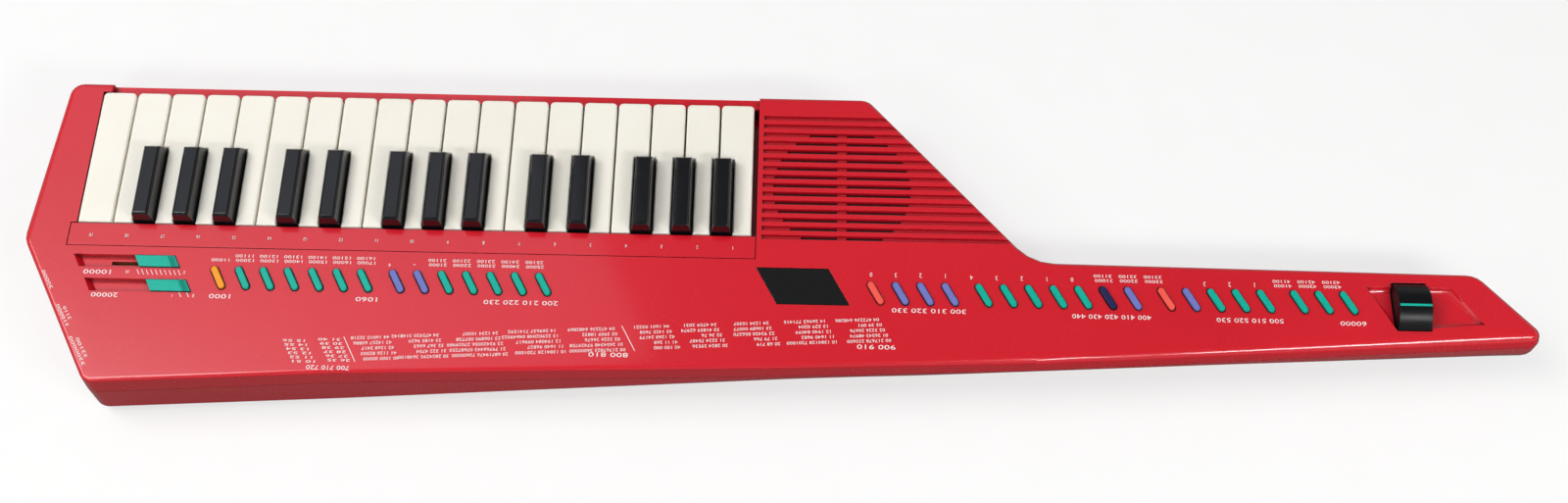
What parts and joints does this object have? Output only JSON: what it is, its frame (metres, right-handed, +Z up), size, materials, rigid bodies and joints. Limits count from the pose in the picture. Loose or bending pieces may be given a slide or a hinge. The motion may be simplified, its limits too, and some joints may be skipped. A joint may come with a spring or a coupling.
{
  "type": "keytar",
  "caption": "Strap-on keyboard with mini keys, a slotted speaker grille beside them, slanted buttons along the panel, sliders, a display and a pitch wheel near the tip of its neck.",
  "frame": {"origin": "under the middle of the overall box, on the plane of the flat underside of the body", "axes": "+X along the neck towards its tip, +Y from the panel with the buttons towards the front edges of the keys, +Z up out of the panel"},
  "size_m": [0.7666, 0.1706, 0.0462],
  "materials": {
    "red_plastic": "moulded, glossy",
    "ivory_plastic": "moulded, semi-gloss",
    "black_plastic": "moulded, glossy",
    "teal_plastic": "moulded, satin",
    "purple_rubber": "silicone, satin",
    "orange_rubber": "silicone, satin",
    "coral_rubber": "silicone, satin",
    "navy_rubber": "silicone, satin",
    "smoked_acrylic": "polished, nearly black",
    "board_laminate": "laminate",
    "speaker_paper": "matt paper cone on a steel basket",
    "plated_steel": "plated, polished"
  },
  "bodies": {
    "case": {"upper_case": "red_plastic", "lower_case": "red_plastic", "key_frame": "red_plastic", "display_window": "smoked_acrylic", "speaker_driver": "speaker_paper", "control_board": "board_laminate", "midi_socket": "black_plastic", "power_socket": "black_plastic", "phones_socket": "black_plastic", "end_strap_pin": "plated_steel", "neck_strap_pin": "plated_steel"},
    "volume_slider": {"volume_knob": "teal_plastic"},
    "power_slider": {"power_knob": "teal_plastic"},
    "bend_wheel": {"pitch_wheel": "black_plastic"},
    "battery_lid": {"battery_cover": "red_plastic"},
    "demo_button_strip": {"demo_button": "orange_rubber"},
    "mode_buttons_strip": {"mode_buttons": "teal_plastic"},
    "value_buttons_strip": {"value_buttons": "purple_rubber"},
    "parameter_buttons_strip": {"parameter_buttons": "teal_plastic"},
    "record_button_strip": {"record_button": "coral_rubber"},
    "sequence_buttons_strip": {"sequence_buttons": "purple_rubber"},
    "digit_buttons_strip": {"digit_buttons": "teal_plastic"},
    "style_button_strip": {"style_button": "navy_rubber"},
    "voice_button_strip": {"voice_button": "purple_rubber"},
    "start_button_strip": {"start_button": "coral_rubber"},
    "synchro_button_strip": {"synchro_button": "purple_rubber"},
    "fill_buttons_strip": {"fill_buttons": "teal_plastic"},
    "effect_buttons_strip": {"effect_buttons": "teal_plastic"},
    "white_C6_key": {"white_C6": "ivory_plastic"},
    "white_B5_key": {"white_B5": "ivory_plastic"},
    "black_As5_key": {"black_As5": "black_plastic"},
    "white_A5_key": {"white_A5": "ivory_plastic"},
    "black_Gs5_key": {"black_Gs5": "black_plastic"},
    "white_G5_key": {"white_G5": "ivory_plastic"},
    "black_Fs5_key": {"black_Fs5": "black_plastic"},
    "white_F5_key": {"white_F5": "ivory_plastic"},
    "white_E5_key": {"white_E5": "ivory_plastic"},
    "black_Ds5_key": {"black_Ds5": "black_plastic"},
    "white_D5_key": {"white_D5": "ivory_plastic"},
    "black_Cs5_key": {"black_Cs5": "black_plastic"},
    "white_C5_key": {"white_C5": "ivory_plastic"},
    "white_B4_key": {"white_B4": "ivory_plastic"},
    "black_As4_key": {"black_As4": "black_plastic"},
    "white_A4_key": {"white_A4": "ivory_plastic"},
    "black_Gs4_key": {"black_Gs4": "black_plastic"},
    "white_G4_key": {"white_G4": "ivory_plastic"},
    "black_Fs4_key": {"black_Fs4": "black_plastic"},
    "white_F4_key": {"white_F4": "ivory_plastic"},
    "white_E4_key": {"white_E4": "ivory_plastic"},
    "black_Ds4_key": {"black_Ds4": "black_plastic"},
    "white_D4_key": {"white_D4": "ivory_plastic"},
    "black_Cs4_key": {"black_Cs4": "black_plastic"},
    "white_C4_key": {"white_C4": "ivory_plastic"},
    "white_B3_key": {"white_B3": "ivory_plastic"},
    "black_As3_key": {"black_As3": "black_plastic"},
    "white_A3_key": {"white_A3": "ivory_plastic"},
    "black_Gs3_key": {"black_Gs3": "black_plastic"},
    "white_G3_key": {"white_G3": "ivory_plastic"},
    "black_Fs3_key": {"black_Fs3": "black_plastic"},
    "white_F3_key": {"white_F3": "ivory_plastic"}
  },
  "joints": [
    {"name": "volume_slide", "type": "slide", "parent": "case", "child": "volume_slider", "axis": [-1, 0, 0], "range_m": [0, 0.02]},
    {"name": "power_slide", "type": "slide", "parent": "case", "child": "power_slider", "axis": [-1, 0, 0], "range_m": [0, 0.004]},
    {"name": "pitch_bend", "type": "hinge", "parent": "case", "child": "bend_wheel", "pos_m": [0.31911, -0.03013, 0.0294], "axis": [1, 0, 0], "range_deg": [-25, 25], "stiffness_Nm_per_rad": 0.03},
    {"name": "battery_lid_swing", "type": "hinge", "parent": "case", "child": "battery_lid", "pos_m": [-0.29429, 0.01927, 0.0002], "axis": [0, 1, 0], "range_deg": [0, 100]},
    {"name": "demo_button_press", "type": "slide", "parent": "case", "child": "demo_button_strip", "axis": [0, 0, -1], "range_m": [0, 0.0009], "stiffness_N_per_m": 600, "springref_m": -0.0006},
    {"name": "mode_buttons_press", "type": "slide", "parent": "case", "child": "mode_buttons_strip", "axis": [0, 0, -1], "range_m": [0, 0.0009], "stiffness_N_per_m": 600, "springref_m": -0.0006},
    {"name": "value_buttons_press", "type": "slide", "parent": "case", "child": "value_buttons_strip", "axis": [0, 0, -1], "range_m": [0, 0.0009], "stiffness_N_per_m": 600, "springref_m": -0.0006},
    {"name": "parameter_buttons_press", "type": "slide", "parent": "case", "child": "parameter_buttons_strip", "axis": [0, 0, -1], "range_m": [0, 0.0009], "stiffness_N_per_m": 600, "springref_m": -0.0006},
    {"name": "record_button_press", "type": "slide", "parent": "case", "child": "record_button_strip", "axis": [0, 0, -1], "range_m": [0, 0.0009], "stiffness_N_per_m": 600, "springref_m": -0.0006},
    {"name": "sequence_buttons_press", "type": "slide", "parent": "case", "child": "sequence_buttons_strip", "axis": [0, 0, -1], "range_m": [0, 0.0009], "stiffness_N_per_m": 600, "springref_m": -0.0006},
    {"name": "digit_buttons_press", "type": "slide", "parent": "case", "child": "digit_buttons_strip", "axis": [0, 0, -1], "range_m": [0, 0.0009], "stiffness_N_per_m": 600, "springref_m": -0.0006},
    {"name": "style_button_press", "type": "slide", "parent": "case", "child": "style_button_strip", "axis": [0, 0, -1], "range_m": [0, 0.0009], "stiffness_N_per_m": 600, "springref_m": -0.0006},
    {"name": "voice_button_press", "type": "slide", "parent": "case", "child": "voice_button_strip", "axis": [0, 0, -1], "range_m": [0, 0.0009], "stiffness_N_per_m": 600, "springref_m": -0.0006},
    {"name": "start_button_press", "type": "slide", "parent": "case", "child": "start_button_strip", "axis": [0, 0, -1], "range_m": [0, 0.0009], "stiffness_N_per_m": 600, "springref_m": -0.0006},
    {"name": "synchro_button_press", "type": "slide", "parent": "case", "child": "synchro_button_strip", "axis": [0, 0, -1], "range_m": [0, 0.0009], "stiffness_N_per_m": 600, "springref_m": -0.0006},
    {"name": "fill_buttons_press", "type": "slide", "parent": "case", "child": "fill_buttons_strip", "axis": [0, 0, -1], "range_m": [0, 0.0009], "stiffness_N_per_m": 600, "springref_m": -0.0006},
    {"name": "effect_buttons_press", "type": "slide", "parent": "case", "child": "effect_buttons_strip", "axis": [0, 0, -1], "range_m": [0, 0.0009], "stiffness_N_per_m": 600, "springref_m": -0.0006},
    {"name": "white_C6_press", "type": "hinge", "parent": "case", "child": "white_C6_key", "pos_m": [-0.34488, -0.00473, 0.0308], "axis": [-1, 0, 0], "range_deg": [0, 2.6], "stiffness_Nm_per_rad": 0.35, "springref_deg": -2.58},
    {"name": "white_B5_press", "type": "hinge", "parent": "case", "child": "white_B5_key", "pos_m": [-0.32688, -0.00473, 0.0308], "axis": [-1, 0, 0], "range_deg": [0, 2.6], "stiffness_Nm_per_rad": 0.35, "springref_deg": -2.58},
    {"name": "black_As5_press", "type": "hinge", "parent": "case", "child": "black_As5_key", "pos_m": [-0.32018, -0.00473, 0.0308], "axis": [-1, 0, 0], "range_deg": [0, 3.2], "stiffness_Nm_per_rad": 0.35, "springref_deg": -2.58},
    {"name": "white_A5_press", "type": "hinge", "parent": "case", "child": "white_A5_key", "pos_m": [-0.30889, -0.00473, 0.0308], "axis": [-1, 0, 0], "range_deg": [0, 2.6], "stiffness_Nm_per_rad": 0.35, "springref_deg": -2.58},
    {"name": "black_Gs5_press", "type": "hinge", "parent": "case", "child": "black_Gs5_key", "pos_m": [-0.29989, -0.00473, 0.0308], "axis": [-1, 0, 0], "range_deg": [0, 3.2], "stiffness_Nm_per_rad": 0.35, "springref_deg": -2.58},
    {"name": "white_G5_press", "type": "hinge", "parent": "case", "child": "white_G5_key", "pos_m": [-0.29089, -0.00473, 0.0308], "axis": [-1, 0, 0], "range_deg": [0, 2.6], "stiffness_Nm_per_rad": 0.35, "springref_deg": -2.58},
    {"name": "black_Fs5_press", "type": "hinge", "parent": "case", "child": "black_Fs5_key", "pos_m": [-0.27958, -0.00473, 0.0308], "axis": [-1, 0, 0], "range_deg": [0, 3.2], "stiffness_Nm_per_rad": 0.35, "springref_deg": -2.58},
    {"name": "white_F5_press", "type": "hinge", "parent": "case", "child": "white_F5_key", "pos_m": [-0.27288, -0.00473, 0.0308], "axis": [-1, 0, 0], "range_deg": [0, 2.6], "stiffness_Nm_per_rad": 0.35, "springref_deg": -2.58},
    {"name": "white_E5_press", "type": "hinge", "parent": "case", "child": "white_E5_key", "pos_m": [-0.25488, -0.00473, 0.0308], "axis": [-1, 0, 0], "range_deg": [0, 2.6], "stiffness_Nm_per_rad": 0.35, "springref_deg": -2.58},
    {"name": "black_Ds5_press", "type": "hinge", "parent": "case", "child": "black_Ds5_key", "pos_m": [-0.24758, -0.00473, 0.0308], "axis": [-1, 0, 0], "range_deg": [0, 3.2], "stiffness_Nm_per_rad": 0.35, "springref_deg": -2.58},
    {"name": "white_D5_press", "type": "hinge", "parent": "case", "child": "white_D5_key", "pos_m": [-0.23689, -0.00473, 0.0308], "axis": [-1, 0, 0], "range_deg": [0, 2.6], "stiffness_Nm_per_rad": 0.35, "springref_deg": -2.58},
    {"name": "black_Cs5_press", "type": "hinge", "parent": "case", "child": "black_Cs5_key", "pos_m": [-0.22618, -0.00473, 0.0308], "axis": [-1, 0, 0], "range_deg": [0, 3.2], "stiffness_Nm_per_rad": 0.35, "springref_deg": -2.58},
    {"name": "white_C5_press", "type": "hinge", "parent": "case", "child": "white_C5_key", "pos_m": [-0.21888, -0.00473, 0.0308], "axis": [-1, 0, 0], "range_deg": [0, 2.6], "stiffness_Nm_per_rad": 0.35, "springref_deg": -2.58},
    {"name": "white_B4_press", "type": "hinge", "parent": "case", "child": "white_B4_key", "pos_m": [-0.20089, -0.00473, 0.0308], "axis": [-1, 0, 0], "range_deg": [0, 2.6], "stiffness_Nm_per_rad": 0.35, "springref_deg": -2.58},
    {"name": "black_As4_press", "type": "hinge", "parent": "case", "child": "black_As4_key", "pos_m": [-0.19418, -0.00473, 0.0308], "axis": [-1, 0, 0], "range_deg": [0, 3.2], "stiffness_Nm_per_rad": 0.35, "springref_deg": -2.58},
    {"name": "white_A4_press", "type": "hinge", "parent": "case", "child": "white_A4_key", "pos_m": [-0.18288, -0.00473, 0.0308], "axis": [-1, 0, 0], "range_deg": [0, 2.6], "stiffness_Nm_per_rad": 0.35, "springref_deg": -2.58},
    {"name": "black_Gs4_press", "type": "hinge", "parent": "case", "child": "black_Gs4_key", "pos_m": [-0.17389, -0.00473, 0.0308], "axis": [-1, 0, 0], "range_deg": [0, 3.2], "stiffness_Nm_per_rad": 0.35, "springref_deg": -2.58},
    {"name": "white_G4_press", "type": "hinge", "parent": "case", "child": "white_G4_key", "pos_m": [-0.16489, -0.00473, 0.0308], "axis": [-1, 0, 0], "range_deg": [0, 2.6], "stiffness_Nm_per_rad": 0.35, "springref_deg": -2.58},
    {"name": "black_Fs4_press", "type": "hinge", "parent": "case", "child": "black_Fs4_key", "pos_m": [-0.15358, -0.00473, 0.0308], "axis": [-1, 0, 0], "range_deg": [0, 3.2], "stiffness_Nm_per_rad": 0.35, "springref_deg": -2.58},
    {"name": "white_F4_press", "type": "hinge", "parent": "case", "child": "white_F4_key", "pos_m": [-0.14688, -0.00473, 0.0308], "axis": [-1, 0, 0], "range_deg": [0, 2.6], "stiffness_Nm_per_rad": 0.35, "springref_deg": -2.58},
    {"name": "white_E4_press", "type": "hinge", "parent": "case", "child": "white_E4_key", "pos_m": [-0.12888, -0.00473, 0.0308], "axis": [-1, 0, 0], "range_deg": [0, 2.6], "stiffness_Nm_per_rad": 0.35, "springref_deg": -2.58},
    {"name": "black_Ds4_press", "type": "hinge", "parent": "case", "child": "black_Ds4_key", "pos_m": [-0.12158, -0.00473, 0.0308], "axis": [-1, 0, 0], "range_deg": [0, 3.2], "stiffness_Nm_per_rad": 0.35, "springref_deg": -2.58},
    {"name": "white_D4_press", "type": "hinge", "parent": "case", "child": "white_D4_key", "pos_m": [-0.11088, -0.00473, 0.0308], "axis": [-1, 0, 0], "range_deg": [0, 2.6], "stiffness_Nm_per_rad": 0.35, "springref_deg": -2.58},
    {"name": "black_Cs4_press", "type": "hinge", "parent": "case", "child": "black_Cs4_key", "pos_m": [-0.10018, -0.00473, 0.0308], "axis": [-1, 0, 0], "range_deg": [0, 3.2], "stiffness_Nm_per_rad": 0.35, "springref_deg": -2.58},
    {"name": "white_C4_press", "type": "hinge", "parent": "case", "child": "white_C4_key", "pos_m": [-0.09288, -0.00473, 0.0308], "axis": [-1, 0, 0], "range_deg": [0, 2.6], "stiffness_Nm_per_rad": 0.35, "springref_deg": -2.58},
    {"name": "white_B3_press", "type": "hinge", "parent": "case", "child": "white_B3_key", "pos_m": [-0.07488, -0.00473, 0.0308], "axis": [-1, 0, 0], "range_deg": [0, 2.6], "stiffness_Nm_per_rad": 0.35, "springref_deg": -2.58},
    {"name": "black_As3_press", "type": "hinge", "parent": "case", "child": "black_As3_key", "pos_m": [-0.06818, -0.00473, 0.0308], "axis": [-1, 0, 0], "range_deg": [0, 3.2], "stiffness_Nm_per_rad": 0.35, "springref_deg": -2.58},
    {"name": "white_A3_press", "type": "hinge", "parent": "case", "child": "white_A3_key", "pos_m": [-0.05688, -0.00473, 0.0308], "axis": [-1, 0, 0], "range_deg": [0, 2.6], "stiffness_Nm_per_rad": 0.35, "springref_deg": -2.58},
    {"name": "black_Gs3_press", "type": "hinge", "parent": "case", "child": "black_Gs3_key", "pos_m": [-0.04788, -0.00473, 0.0308], "axis": [-1, 0, 0], "range_deg": [0, 3.2], "stiffness_Nm_per_rad": 0.35, "springref_deg": -2.58},
    {"name": "white_G3_press", "type": "hinge", "parent": "case", "child": "white_G3_key", "pos_m": [-0.03889, -0.00473, 0.0308], "axis": [-1, 0, 0], "range_deg": [0, 2.6], "stiffness_Nm_per_rad": 0.35, "springref_deg": -2.58},
    {"name": "black_Fs3_press", "type": "hinge", "parent": "case", "child": "black_Fs3_key", "pos_m": [-0.02758, -0.00473, 0.0308], "axis": [-1, 0, 0], "range_deg": [0, 3.2], "stiffness_Nm_per_rad": 0.35, "springref_deg": -2.58},
    {"name": "white_F3_press", "type": "hinge", "parent": "case", "child": "white_F3_key", "pos_m": [-0.02089, -0.00473, 0.0308], "axis": [-1, 0, 0], "range_deg": [0, 2.6], "stiffness_Nm_per_rad": 0.35, "springref_deg": -2.58}
  ]
}
